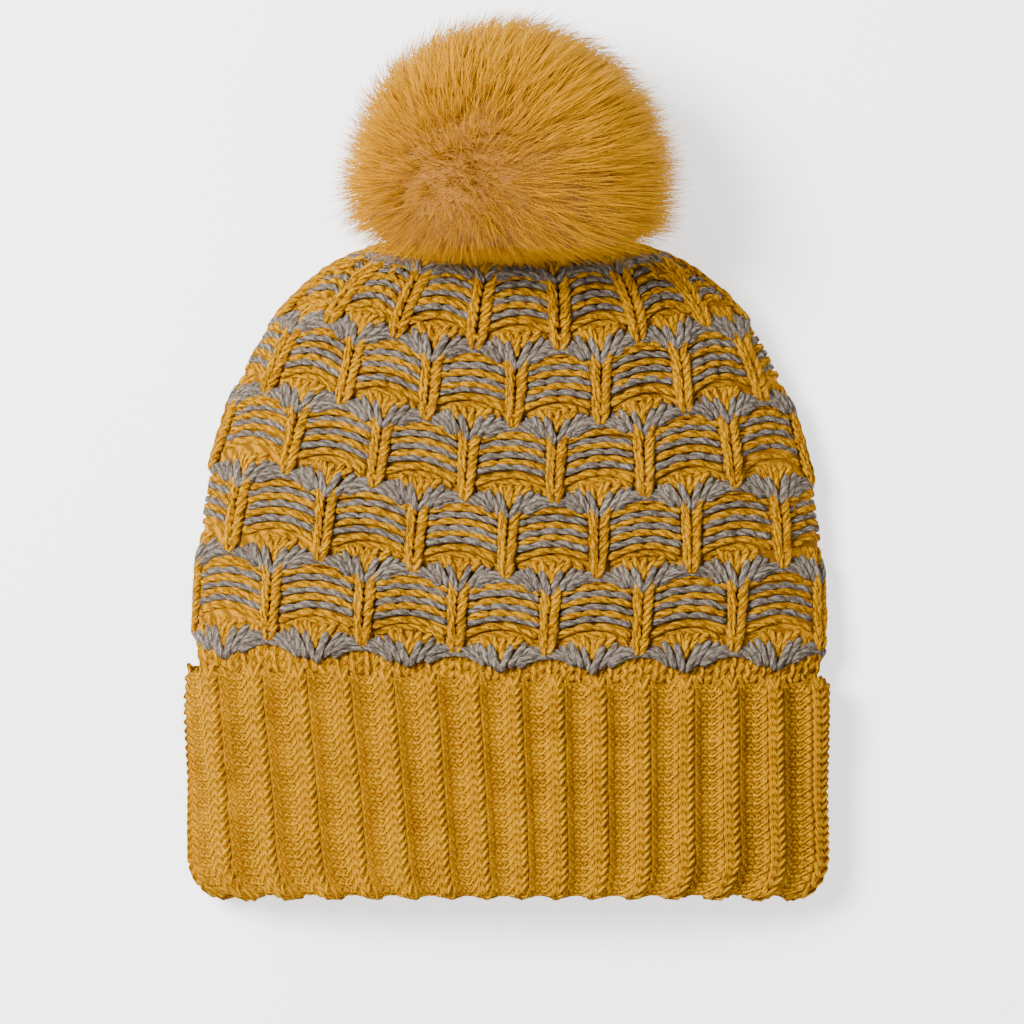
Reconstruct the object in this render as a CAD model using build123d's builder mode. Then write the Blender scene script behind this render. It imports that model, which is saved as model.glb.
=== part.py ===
"""Pom pom beanie lying flat: a knitted hat with a turned-up ribbed cuff and a snap-on fur pom.

Millimetres. +X runs across the hat, +Y from the rim towards the pom, +Z up from the table.
The origin is under the middle of the whole hat, on the table.
Distances along the hat are measured from the rim and turned into Y by along().
"""
from build123d import *
import math
import os

os.makedirs("parts", exist_ok=True)

# ---------------------------------------------------------------- driving dimensions
OVERALL_LENGTH = 312.0
KNIT_WALL = 4.5
PLY_GAP = 0.3

CUFF_HEIGHT = 78.0
CUFF_HALF_WIDTH = 115.0
CUFF_EDGE_THICKNESS = 26.0
CUFF_CENTRE_HEIGHT = 44.0
CUFF_FOLD_ROUNDING = 3.0
CUFF_EDGE_ROUNDING = 1.5

BODY_HALF_WIDTH = 112.5
BODY_WIDEST = 95.0
BODY_LENGTH = 234.0
BODY_OUTLINE_POWER = 2.1
BODY_OUTLINE_ROOT = 3.3
BODY_LANDING = 34.0
BODY_SECTIONS = (0.0, 0.2, 0.4, 0.55, 0.68, 0.79, 0.88, 0.94, 0.98, 1.0)
CAVITY_SECTIONS = (0.0, 0.2, 0.4, 0.55, 0.68, 0.79, 0.88, 0.93, 0.964)
CROWN_END_RADIUS = 14.0
CROWN_RISE_POWER = 3
CROWN_EDGE_POWER = 6
CROWN_AXIS_HEIGHT = 31.0

BAND_RELIEF = 1.2
BAND_WIDTH = 9.0
BAND_PLACES = (84.0, 113.0, 142.0, 170.0, 197.0, 221.0)

SEAM_WIDTH = 5.0
SEAM_HEIGHT = 2.2
SEAM_END = 215.0

LABEL_WIDTH = 30.0
LABEL_LENGTH = 26.0
LABEL_THICKNESS = 0.6
LABEL_START = 124.0
STITCH_LENGTH = 3.0
STITCH_THICKNESS = 0.5
STITCH_COUNT = 5

STUD_SHANK_RADIUS = 1.5
STUD_FLANGE_RADIUS = 7.0
STUD_FLANGE_THICKNESS = 1.2
STUD_NECK_RADIUS = 1.8
STUD_HEAD_RADIUS = 2.1
STUD_HEAD_LENGTH = 1.4
STUD_HEAD_CHAMFER = 0.45
STUD_POST_LENGTH = 3.6
WASHER_RADIUS = 9.0
WASHER_THICKNESS = 1.2
CAP_THICKNESS = 1.0
FIT_CLEARANCE = 0.1
GATHER_RADIUS = 9.5
GATHER_YARN_RADIUS = 1.1

SOCKET_RADIUS = 7.5
SOCKET_LENGTH = 5.0
SOCKET_ROOF = 0.8
SOCKET_RIM_ROUNDING = 0.4
SPRING_WIRE_RADIUS = 0.4
SPRING_PLACE = 1.3
BASE_DISC_RADIUS = 13.0
BASE_DISC_THICKNESS = 2.0
SOCKET_CAP_RADIUS = 6.0
SOCKET_CAP_THICKNESS = 0.8
TIE_KNOT_RADIUS = 2.1

POM_HALF_WIDTH = 61.0
POM_HALF_LENGTH = 37.0
POM_SIDE_RADIUS = 28.0
POM_CENTRE_HEIGHT = 50.0
POM_BASE_RECESS_RADIUS = 20.0
STUFFING_HALF_WIDTH = 35.0
STUFFING_HALF_LENGTH = 20.0
STUFFING_SIDE_RADIUS = 15.0
HIDE_THICKNESS = 1.5
POM_THREAD_RADIUS = 0.9

# ---------------------------------------------------------------- derived places
BODY_RIM_INSET = KNIT_WALL + PLY_GAP
RIB_HALF_WIDTH = CUFF_HALF_WIDTH - BODY_RIM_INSET
RIB_EDGE_THICKNESS = CUFF_EDGE_THICKNESS - 2 * BODY_RIM_INSET
RIB_TOP = CUFF_CENTRE_HEIGHT - BODY_RIM_INSET
CROWN_END_FRACTION = 0.9993
CROWN_RISE_START = 0.6
CAVITY_END = BODY_WIDEST + CAVITY_SECTIONS[-1] * (BODY_LENGTH - BODY_WIDEST)
STUD_BASE_END = BODY_LENGTH + STUD_FLANGE_THICKNESS
SOCKET_START = STUD_BASE_END + PLY_GAP
SOCKET_END = SOCKET_START + SOCKET_LENGTH
BASE_DISC_END = SOCKET_END + BASE_DISC_THICKNESS
TIE_KNOT_CENTRE = BASE_DISC_END + SOCKET_CAP_THICKNESS + PLY_GAP + TIE_KNOT_RADIUS
HIDE_BASE = TIE_KNOT_CENTRE + TIE_KNOT_RADIUS + PLY_GAP
POM_CENTRE = OVERALL_LENGTH - POM_HALF_LENGTH


def along(distance):
    """The Y of a place measured from the rim."""
    return distance - OVERALL_LENGTH / 2


def across_plane(distance):
    """A plane across the hat, looking along +Y, with X to the right and Z up."""
    return Plane.XZ.offset(-along(distance))


def smooth_step(value):
    """Rises from 0 to 1 with a level start and finish."""
    value = min(max(value, 0.0), 1.0)
    return value * value * (3 - 2 * value)


def body_fraction(distance):
    """How far a place is from the widest row (0) to the crown (1)."""
    return max(0.0, (distance - BODY_WIDEST) / (BODY_LENGTH - BODY_WIDEST))


def body_shape(distance):
    """Half width, underside height, top height and edge thickness of the knitted body."""
    part_way = min(body_fraction(distance), CROWN_END_FRACTION)
    half_width = BODY_HALF_WIDTH * (1 - part_way**BODY_OUTLINE_POWER) ** (1 / BODY_OUTLINE_ROOT)
    if distance < BODY_WIDEST:
        below = (BODY_WIDEST - distance) / (BODY_WIDEST - CUFF_HEIGHT)
        half_width = BODY_HALF_WIDTH - (BODY_HALF_WIDTH - RIB_HALF_WIDTH) * below**2
    landing = smooth_step((distance - CUFF_HEIGHT) / BODY_LANDING)
    underside = BODY_RIM_INSET + (BAND_RELIEF - BODY_RIM_INSET) * landing
    rise = max(0.0, (part_way - CROWN_RISE_START) / (1 - CROWN_RISE_START))
    underside += (CROWN_AXIS_HEIGHT - CROWN_END_RADIUS - BAND_RELIEF) * rise**CROWN_RISE_POWER
    top = RIB_TOP + (CROWN_AXIS_HEIGHT + CROWN_END_RADIUS - RIB_TOP) * part_way**2
    edge = RIB_EDGE_THICKNESS + (2 * CROWN_END_RADIUS - RIB_EDGE_THICKNESS) * part_way**CROWN_EDGE_POWER
    return half_width, underside, top, edge


def section(distance, shape, inset=0.0):
    """A cross-section flat underneath, half round at both sides and gently crowned on top."""
    half_width, underside, top, edge = shape
    radius = edge / 2 - inset
    side = half_width - inset - radius
    low = underside + inset
    with BuildSketch(across_plane(distance)) as outline:
        with BuildLine():
            Line((-side, low), (side, low))
            ThreePointArc((side, low), (side + radius, low + radius), (side, low + 2 * radius))
            ThreePointArc((side, low + 2 * radius), (0, top - inset), (-side, low + 2 * radius))
            ThreePointArc((-side, low + 2 * radius), (-side - radius, low + radius), (-side, low))
        make_face()
    return outline.sketch


def cuff_shape():
    """Half width, underside height, top height and edge thickness of the turned-up cuff."""
    return CUFF_HALF_WIDTH, 0.0, CUFF_CENTRE_HEIGHT, CUFF_EDGE_THICKNESS


def body_place(fraction):
    """The distance from the rim of a fraction of the way from the widest row to the crown."""
    return BODY_WIDEST + fraction * (BODY_LENGTH - BODY_WIDEST)


def body_loft(sections, inset, start=CUFF_HEIGHT):
    """A closed solid through the body's sections, all inset by the same amount."""
    places = [start] + [body_place(fraction) for fraction in sections]
    with BuildPart() as solid:
        for place in places:
            add(section(place, body_shape(place), inset))
        loft()
    return solid.part


def pom_ball(half_width, half_length, side_radius):
    """A round cushion about the pom's middle line: two flat caps joined by one tight round side."""
    side_centre = half_width - side_radius
    cap_radius = side_centre**2 + half_length**2 - side_radius**2
    cap_radius /= 2 * (half_length - side_radius)
    cap_angle = math.atan2(side_centre, cap_radius - half_length)
    joint = (cap_radius * math.sin(cap_angle), half_length - cap_radius * (1 - math.cos(cap_angle)))
    halfway = cap_angle / 2
    cap = (cap_radius * math.sin(halfway), half_length - cap_radius * (1 - math.cos(halfway)))
    middle = Vector(0, along(POM_CENTRE), POM_CENTRE_HEIGHT)
    with BuildPart() as ball:
        with BuildSketch(Plane(origin=middle, x_dir=(1, 0, 0), z_dir=(0, 0, 1))):
            with BuildLine():
                ThreePointArc((0, half_length), cap, joint)
                ThreePointArc(joint, (half_width, 0), (joint[0], -joint[1]))
                ThreePointArc((joint[0], -joint[1]), (cap[0], -cap[1]), (0, -half_length))
                Line((0, -half_length), (0, half_length))
            make_face()
        revolve(axis=Axis(middle, (0, 1, 0)))
    return ball.part


def on_stud_axis(distance):
    """A plane across the stud's axis, centred on it, facing +Y."""
    return Plane(origin=(0, along(distance), CROWN_AXIS_HEIGHT), x_dir=(1, 0, 0), z_dir=(0, 1, 0))


def finish(solid, name):
    """Labels a finished sub-part and writes it to its own file."""
    solid.part.label = name
    export_step(solid.part, f"parts/{name}.step")


# ---------------------------------------------------------------- knitted body
body_outer = body_loft(BODY_SECTIONS, 0.0)
body_cavity = body_loft(CAVITY_SECTIONS, KNIT_WALL)

with BuildPart() as knit_body:
    add(body_outer)
    add(body_cavity, mode=Mode.SUBTRACT)
    with BuildSketch(on_stud_axis(CAVITY_END)):
        Circle(STUD_SHANK_RADIUS + FIT_CLEARANCE)
    extrude(amount=BODY_LENGTH - CAVITY_END, mode=Mode.SUBTRACT)
finish(knit_body, "knit_body")

# ---------------------------------------------------------------- rib band inside the cuff
with BuildPart() as rib_band:
    rib_length = CUFF_HEIGHT - BODY_RIM_INSET
    extrude(section(CUFF_HEIGHT, cuff_shape(), BODY_RIM_INSET), amount=rib_length)
    rib_inside = section(CUFF_HEIGHT, cuff_shape(), BODY_RIM_INSET + KNIT_WALL)
    extrude(rib_inside, amount=rib_length, mode=Mode.SUBTRACT)
finish(rib_band, "rib_band")

# ---------------------------------------------------------------- turned-up cuff with its fold
with BuildPart() as turned_up_cuff:
    extrude(section(CUFF_HEIGHT, cuff_shape()), amount=CUFF_HEIGHT)
    cuff_inside = section(CUFF_HEIGHT, cuff_shape(), KNIT_WALL)
    extrude(cuff_inside, amount=CUFF_HEIGHT - KNIT_WALL, mode=Mode.SUBTRACT)
    fold_inside = section(KNIT_WALL, cuff_shape(), BODY_RIM_INSET + KNIT_WALL)
    extrude(fold_inside, amount=KNIT_WALL, mode=Mode.SUBTRACT)
    fold_face = turned_up_cuff.faces().sort_by(Axis.Y)[0]
    fillet(fold_face.outer_wire().edges(), radius=CUFF_FOLD_ROUNDING)
    top_face = turned_up_cuff.faces().sort_by(Axis.Y)[-1]
    fillet(top_face.outer_wire().edges(), radius=CUFF_EDGE_ROUNDING)
finish(turned_up_cuff, "turned_up_cuff")

# ---------------------------------------------------------------- contrast yarn bands
for number, place in enumerate(BAND_PLACES, start=1):
    band_rows = (place - BAND_WIDTH / 2, place, place + BAND_WIDTH / 2)
    with BuildPart() as grey_band:
        for row in band_rows:
            add(section(row, body_shape(row), -BAND_RELIEF))
        loft()
        add(body_outer, mode=Mode.SUBTRACT)
    finish(grey_band, f"grey_yarn_band_{number}")

# ---------------------------------------------------------------- back seam inside the body
with BuildPart() as back_seam_yarn:
    with Locations((0, along((CUFF_HEIGHT + SEAM_END) / 2), CROWN_AXIS_HEIGHT / 2)):
        Box(SEAM_WIDTH, SEAM_END - CUFF_HEIGHT, CROWN_AXIS_HEIGHT)
    add(body_cavity, mode=Mode.INTERSECT)
    add(Pos(0, 0, SEAM_HEIGHT) * body_cavity, mode=Mode.SUBTRACT)
finish(back_seam_yarn, "back_seam_yarn")

# ---------------------------------------------------------------- care label and its stitches
label_floor = BAND_RELIEF + KNIT_WALL
label_left = SEAM_WIDTH / 2
with BuildPart() as care_label:
    with BuildSketch(Plane.XY.offset(label_floor)):
        with Locations((label_left + LABEL_WIDTH / 2, along(LABEL_START + LABEL_LENGTH / 2))):
            Rectangle(LABEL_WIDTH, LABEL_LENGTH)
    extrude(amount=LABEL_THICKNESS)
finish(care_label, "care_label")

with BuildPart() as label_stitches:
    stitch_pitch = LABEL_LENGTH / STITCH_COUNT
    with BuildSketch(Plane.XY.offset(label_floor + LABEL_THICKNESS)):
        with Locations((label_left + STITCH_LENGTH, along(LABEL_START + LABEL_LENGTH / 2))):
            with GridLocations(STITCH_LENGTH, stitch_pitch, 1, STITCH_COUNT):
                Rectangle(STITCH_LENGTH, STITCH_THICKNESS)
    extrude(amount=STITCH_THICKNESS)
finish(label_stitches, "label_stitches")

# ---------------------------------------------------------------- press stud on the crown
with BuildPart() as crown_washer:
    with BuildSketch(on_stud_axis(CAVITY_END)):
        Circle(WASHER_RADIUS)
        Circle(STUD_SHANK_RADIUS + FIT_CLEARANCE, mode=Mode.SUBTRACT)
    extrude(amount=-WASHER_THICKNESS)
finish(crown_washer, "crown_washer")

with BuildPart() as stud_cap:
    cap_place = CAVITY_END - WASHER_THICKNESS
    with BuildSketch(on_stud_axis(cap_place)):
        Circle(STUD_FLANGE_RADIUS)
    extrude(amount=-CAP_THICKNESS)
    with BuildSketch(on_stud_axis(cap_place)):
        Circle(STUD_SHANK_RADIUS)
    extrude(amount=BODY_LENGTH - cap_place)
finish(stud_cap, "stud_cap")

with BuildPart() as press_stud:
    with BuildSketch(on_stud_axis(BODY_LENGTH)):
        Circle(STUD_FLANGE_RADIUS)
    extrude(amount=STUD_FLANGE_THICKNESS)
    with BuildSketch(on_stud_axis(STUD_BASE_END)):
        Circle(STUD_NECK_RADIUS)
    extrude(amount=STUD_POST_LENGTH - STUD_HEAD_LENGTH)
    with BuildSketch(on_stud_axis(STUD_BASE_END + STUD_POST_LENGTH - STUD_HEAD_LENGTH)):
        Circle(STUD_HEAD_RADIUS)
    extrude(amount=STUD_HEAD_LENGTH)
    head_face = press_stud.faces().sort_by(Axis.Y)[-1]
    chamfer(head_face.edges(), length=STUD_HEAD_CHAMFER)
finish(press_stud, "press_stud")

with BuildPart() as crown_gather_yarn:
    ring_plane = on_stud_axis(BODY_LENGTH + GATHER_YARN_RADIUS)
    with Locations(ring_plane.location):
        Torus(GATHER_RADIUS, GATHER_YARN_RADIUS)
finish(crown_gather_yarn, "crown_gather_yarn")

# ---------------------------------------------------------------- snap socket on the pom
spring_place = STUD_BASE_END + SPRING_PLACE
spring_inner = STUD_HEAD_RADIUS + FIT_CLEARANCE
with BuildPart() as socket_spring:
    with Locations(on_stud_axis(spring_place).location):
        Torus(spring_inner + SPRING_WIRE_RADIUS, SPRING_WIRE_RADIUS)
finish(socket_spring, "socket_spring")

with BuildPart() as snap_socket:
    with BuildSketch(on_stud_axis(SOCKET_START)):
        Circle(SOCKET_RADIUS)
    extrude(amount=SOCKET_LENGTH)
    with BuildSketch(on_stud_axis(SOCKET_START)):
        Circle(STUD_HEAD_RADIUS + PLY_GAP)
    extrude(amount=SOCKET_LENGTH - SOCKET_ROOF, mode=Mode.SUBTRACT)
    groove_half = SPRING_WIRE_RADIUS + FIT_CLEARANCE
    with BuildSketch(on_stud_axis(spring_place - groove_half)):
        Circle(spring_inner + 2 * groove_half)
    extrude(amount=2 * groove_half, mode=Mode.SUBTRACT)
    socket_rim = snap_socket.faces().sort_by(Axis.Y)[-1]
    fillet(socket_rim.edges(), radius=SOCKET_RIM_ROUNDING)
finish(snap_socket, "snap_socket")

with BuildPart() as pom_base_disc:
    with BuildSketch(on_stud_axis(SOCKET_END)):
        Circle(BASE_DISC_RADIUS)
        Circle(STUD_SHANK_RADIUS + FIT_CLEARANCE, mode=Mode.SUBTRACT)
    extrude(amount=BASE_DISC_THICKNESS)
finish(pom_base_disc, "pom_base_disc")

with BuildPart() as socket_cap:
    with BuildSketch(on_stud_axis(SOCKET_END)):
        Circle(STUD_SHANK_RADIUS)
    extrude(amount=BASE_DISC_THICKNESS)
    with BuildSketch(on_stud_axis(BASE_DISC_END)):
        Circle(SOCKET_CAP_RADIUS)
    extrude(amount=SOCKET_CAP_THICKNESS)
finish(socket_cap, "socket_cap")

with BuildPart() as pom_tie_thread:
    with Locations(on_stud_axis(TIE_KNOT_CENTRE).location):
        Sphere(TIE_KNOT_RADIUS)
finish(pom_tie_thread, "pom_tie_thread")

# ---------------------------------------------------------------- pom
stuffing_sizes = (STUFFING_HALF_WIDTH, STUFFING_HALF_LENGTH, STUFFING_SIDE_RADIUS)
stuffing_ball = pom_ball(*stuffing_sizes)
hide_ball = pom_ball(*(size + HIDE_THICKNESS for size in stuffing_sizes))

with BuildPart() as pom_stuffing:
    add(stuffing_ball)
finish(pom_stuffing, "pom_stuffing")

with BuildPart() as pom_hide:
    add(hide_ball)
    add(stuffing_ball, mode=Mode.SUBTRACT)
finish(pom_hide, "pom_hide")

with BuildPart() as pom_hide_neck:
    with BuildSketch(on_stud_axis(HIDE_BASE)):
        Circle(BASE_DISC_RADIUS)
    extrude(amount=POM_CENTRE - HIDE_BASE)
    add(hide_ball, mode=Mode.SUBTRACT)
finish(pom_hide_neck, "pom_hide_neck")

with BuildPart() as pom_gather_thread:
    with Locations(on_stud_axis(HIDE_BASE + 2 * POM_THREAD_RADIUS).location):
        Torus(BASE_DISC_RADIUS + POM_THREAD_RADIUS, POM_THREAD_RADIUS)
finish(pom_gather_thread, "pom_gather_thread")

recess_end = HIDE_BASE + 4 * POM_THREAD_RADIUS
with BuildPart() as pom_fur_pile:
    add(pom_ball(POM_HALF_WIDTH, POM_HALF_LENGTH, POM_SIDE_RADIUS))
    split(bisect_by=Plane.XY, keep=Keep.TOP)
    with BuildSketch(on_stud_axis(SOCKET_START)):
        Circle(POM_BASE_RECESS_RADIUS)
    extrude(amount=recess_end - SOCKET_START, mode=Mode.SUBTRACT)
    with BuildSketch(on_stud_axis(HIDE_BASE)):
        Circle(BASE_DISC_RADIUS + PLY_GAP)
    extrude(amount=POM_CENTRE - HIDE_BASE, mode=Mode.SUBTRACT)
    add(hide_ball, mode=Mode.SUBTRACT)
finish(pom_fur_pile, "pom_fur_pile")

print("stud axis height", CROWN_AXIS_HEIGHT)
print("tilt pivot from the middle", along(TIE_KNOT_CENTRE))
print("cavity end from the middle", along(CAVITY_END))
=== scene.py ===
"""Looks of the pom pom beanie: knitted yarns, fur pom, fastener finishes, floor, light and camera.

Lengths inside the functions are millimetres. +X runs across the hat, +Y from the rim to the pom.
A place on the hat is given by its distance from the rim, its turn round the hat (0 at the middle
of the front, a quarter at the right-hand side) and its lift off the knit's outer surface.
"""
import math

import bpy
import numpy as np
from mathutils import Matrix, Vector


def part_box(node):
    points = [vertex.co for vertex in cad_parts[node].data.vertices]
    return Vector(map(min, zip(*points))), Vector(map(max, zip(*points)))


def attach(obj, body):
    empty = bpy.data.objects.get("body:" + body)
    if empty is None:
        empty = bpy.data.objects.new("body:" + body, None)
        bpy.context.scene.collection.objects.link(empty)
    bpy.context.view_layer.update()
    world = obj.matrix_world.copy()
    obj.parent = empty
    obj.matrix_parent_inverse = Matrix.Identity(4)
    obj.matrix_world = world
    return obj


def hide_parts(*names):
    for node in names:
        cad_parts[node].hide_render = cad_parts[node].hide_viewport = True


bl_info = {
    "name": "Pom pom beanie",
    "version": (1, 0, 0),
    "blender": (4, 5, 0),
    "location": "View3D > Sidebar > Beanie",
    "description": "Builds the yarns, fur and finishes of a knitted pom pom beanie",
    "category": "Object",
}

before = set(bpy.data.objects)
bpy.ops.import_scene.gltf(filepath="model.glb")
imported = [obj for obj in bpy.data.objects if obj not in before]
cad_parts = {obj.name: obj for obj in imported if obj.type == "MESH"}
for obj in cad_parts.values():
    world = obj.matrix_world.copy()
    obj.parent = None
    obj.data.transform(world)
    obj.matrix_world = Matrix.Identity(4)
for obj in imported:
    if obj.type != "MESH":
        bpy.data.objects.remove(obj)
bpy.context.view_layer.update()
MM = 0.001


def cad_span(node):
    """Lowest and highest corner of a CAD node as arrays in millimetres."""
    low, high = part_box(node)
    return np.array(low) / MM, np.array(high) / MM


# ------------------------------------------------------------------ sizes taken from the frame
RIM_Y = cad_span("turned_up_cuff")[0][1]
CUFF_HEIGHT = cad_span("turned_up_cuff")[1][1] - RIM_Y
CUFF_GAP = cad_span("rib_band")[0][2]
RIB_HALF_WIDTH = cad_span("rib_band")[1][0]
RIB_TOP = cad_span("rib_band")[1][2]
BODY_HALF_WIDTH = cad_span("knit_body")[1][0]
BODY_LENGTH = cad_span("knit_body")[1][1] - RIM_Y
POM_LOW, POM_HIGH = cad_span("pom_fur_pile")
HIDE_LOW, HIDE_HIGH = cad_span("pom_hide")
STUD_HEIGHT = (cad_span("press_stud")[0][2] + cad_span("press_stud")[1][2]) / 2

# ------------------------------------------------------------------ the hat's outer form
BODY_WIDEST = 95.0
OUTLINE_POWER = 2.1
OUTLINE_ROOT = 3.3
CROWN_FRACTION = 0.9993
CROWN_RADIUS = 14.0
RIB_EDGE = 16.4
UNDERSIDE = 1.2
LANDING = 34.0
CROWN_RISE_START = 0.6
CORNER_ROUNDING = 14.0
KNIT_WALL = 4.5

# ------------------------------------------------------------------ the knitting
COLUMNS = 14
ROW_PLACES = (82.0, 108.9, 135.7, 162.4, 188.9, 218.5)
ROW_PITCH = 26.7
RIBS = 30
RIB_STITCHES = 4
YARN_UV_LENGTH = 60.0
STITCHES_PER_UV = 4


def smooth_step(value):
    """Rises from 0 to 1 as 3v^2 - 2v^3."""
    value = np.clip(value, 0.0, 1.0)
    return value * value * (3 - 2 * value)


def section_sizes(away):
    """Half width, underside, top and edge thickness of the hat at each distance from the rim.
    The half width is a superellipse in the distance, as in the CAD, with its rim corners rounded."""
    part_way = np.clip((away - BODY_WIDEST) / (BODY_LENGTH - BODY_WIDEST), 0, CROWN_FRACTION)
    below = np.clip((BODY_WIDEST - away) / (BODY_WIDEST - CUFF_HEIGHT), 0, 1)
    half_width = BODY_HALF_WIDTH * (1 - part_way**OUTLINE_POWER) ** (1 / OUTLINE_ROOT)
    half_width -= (BODY_HALF_WIDTH - RIB_HALF_WIDTH) * below**2
    corner = np.clip((CORNER_ROUNDING - away) / CORNER_ROUNDING, 0, 1)
    half_width -= CORNER_ROUNDING * (1 - np.sqrt(1 - corner**2))
    low = CUFF_GAP + (UNDERSIDE - CUFF_GAP) * smooth_step((away - CUFF_HEIGHT) / LANDING)
    rise = np.clip((part_way - CROWN_RISE_START) / (1 - CROWN_RISE_START), 0, 1)
    low += (STUD_HEIGHT - CROWN_RADIUS - UNDERSIDE) * rise**3
    top = RIB_TOP + (STUD_HEIGHT + CROWN_RADIUS - RIB_TOP) * part_way**2
    edge = RIB_EDGE + (2 * CROWN_RADIUS - RIB_EDGE) * part_way**6
    return half_width, low, top, edge


TABLE_ROWS = np.concatenate([np.arange(-14.0, 215.0), np.linspace(215.0, BODY_LENGTH, 78)])
TABLE_TURNS = 1024


def surface_table():
    """Points and outward normals of the hat's surface on a grid of distance by turn.
    Each section is half an ellipse above and a flat half superellipse below, stepped evenly by
    length; the normal is the cross product of the two grid directions."""
    half_width, low, top, edge = (size[:, None] for size in section_sizes(TABLE_ROWS))
    angle = np.linspace(0, 2 * np.pi, 6001)[None, :]
    sine, cosine = np.sin(angle), np.cos(angle)
    middle = low + edge / 2
    x = half_width * np.where(cosine >= 0, sine, np.sign(sine) * np.sqrt(np.abs(sine)))
    z = np.where(cosine >= 0, middle + (top - middle) * cosine, middle - edge / 2 * np.sqrt(np.abs(cosine)))
    steps = np.hypot(np.diff(x, axis=1), np.diff(z, axis=1))
    length = np.concatenate([np.zeros((len(TABLE_ROWS), 1)), np.cumsum(steps, axis=1)], axis=1)
    turns = np.linspace(0, 1, TABLE_TURNS + 1)
    points = np.zeros((len(TABLE_ROWS), TABLE_TURNS + 1, 3))
    for row, total in enumerate(length[:, -1]):
        points[row, :, 0] = np.interp(turns * total, length[row], x[row])
        points[row, :, 2] = np.interp(turns * total, length[row], z[row])
    points[:, :, 1] = RIM_Y + TABLE_ROWS[:, None]
    padded = np.concatenate([points[:, -2:-1], points, points[:, 1:2]], axis=1)
    round_step = (padded[:, 2:] - padded[:, :-2])
    along_step = np.gradient(points, axis=0)
    normals = np.cross(round_step, along_step)
    normals /= np.linalg.norm(normals, axis=2, keepdims=True) + 1e-12
    return points, normals, length[:, -1]


POINTS, NORMALS, GIRTH = surface_table()


def on_hat(away, turn, lift=0.0):
    """Points and normals at places on the hat, read from the table by bilinear interpolation."""
    away, turn = np.broadcast_arrays(away, turn)
    row = np.interp(away, TABLE_ROWS, np.arange(len(TABLE_ROWS)))
    low_row = np.clip(row.astype(int), 0, len(TABLE_ROWS) - 2)
    across = np.mod(turn, 1.0) * TABLE_TURNS
    low_turn = np.clip(across.astype(int), 0, TABLE_TURNS - 1)
    row_part = (row - low_row)[..., None]
    turn_part = (across - low_turn)[..., None]

    def blend(table):
        near = table[low_row, low_turn] * (1 - turn_part) + table[low_row, low_turn + 1] * turn_part
        far = table[low_row + 1, low_turn] * (1 - turn_part) + table[low_row + 1, low_turn + 1] * turn_part
        return near * (1 - row_part) + far * row_part

    normal = blend(NORMALS)
    normal /= np.linalg.norm(normal, axis=-1, keepdims=True) + 1e-12
    return blend(POINTS) + normal * np.asarray(lift)[..., None], normal


def relaxed(away, turn):
    """Where a stitch of the straight pattern lies in the relaxed hat. Rows bow up at both sides by
    the square of a sine and tilt by a sine; columns crowd or spread by the sine of two turns."""
    bow = np.interp(away, (66, 78, 88, 108, 135, 162, 189, 218, 229, 234), (0, 1, 4, 6, 9, 11, 12, 8, 3, 0))
    tilt = np.interp(away, (0, 78, 135, 162, 189, 218), (0, 2.4, 3.0, 2.0, 0.8, 0.0))
    crowd = -0.04 + 0.19 * smooth_step((away - 150) / 90) - 0.08 * np.clip(1 - away / 78, 0, 1)
    drift = np.interp(away, (0, 78, 218, 234), (0, -3.7, 4.0, 0)) / np.interp(away, TABLE_ROWS, GIRTH)
    sine = np.sin(2 * np.pi * turn)
    moved = away + bow * sine**2 - tilt * sine
    return moved, turn + drift + crowd * np.sin(4 * np.pi * turn) / (4 * np.pi)


def wander(values, seed, size):
    """A smooth, repeatable unevenness: three sines of whole numbers of waves per turn."""
    rng = np.random.default_rng(seed)
    waves = rng.integers(3, 23, 3)
    starts = rng.uniform(0, 2 * np.pi, 3)
    return size * sum(np.sin(2 * np.pi * wave * values + start) for wave, start in zip(waves, starts)) / 3


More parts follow.
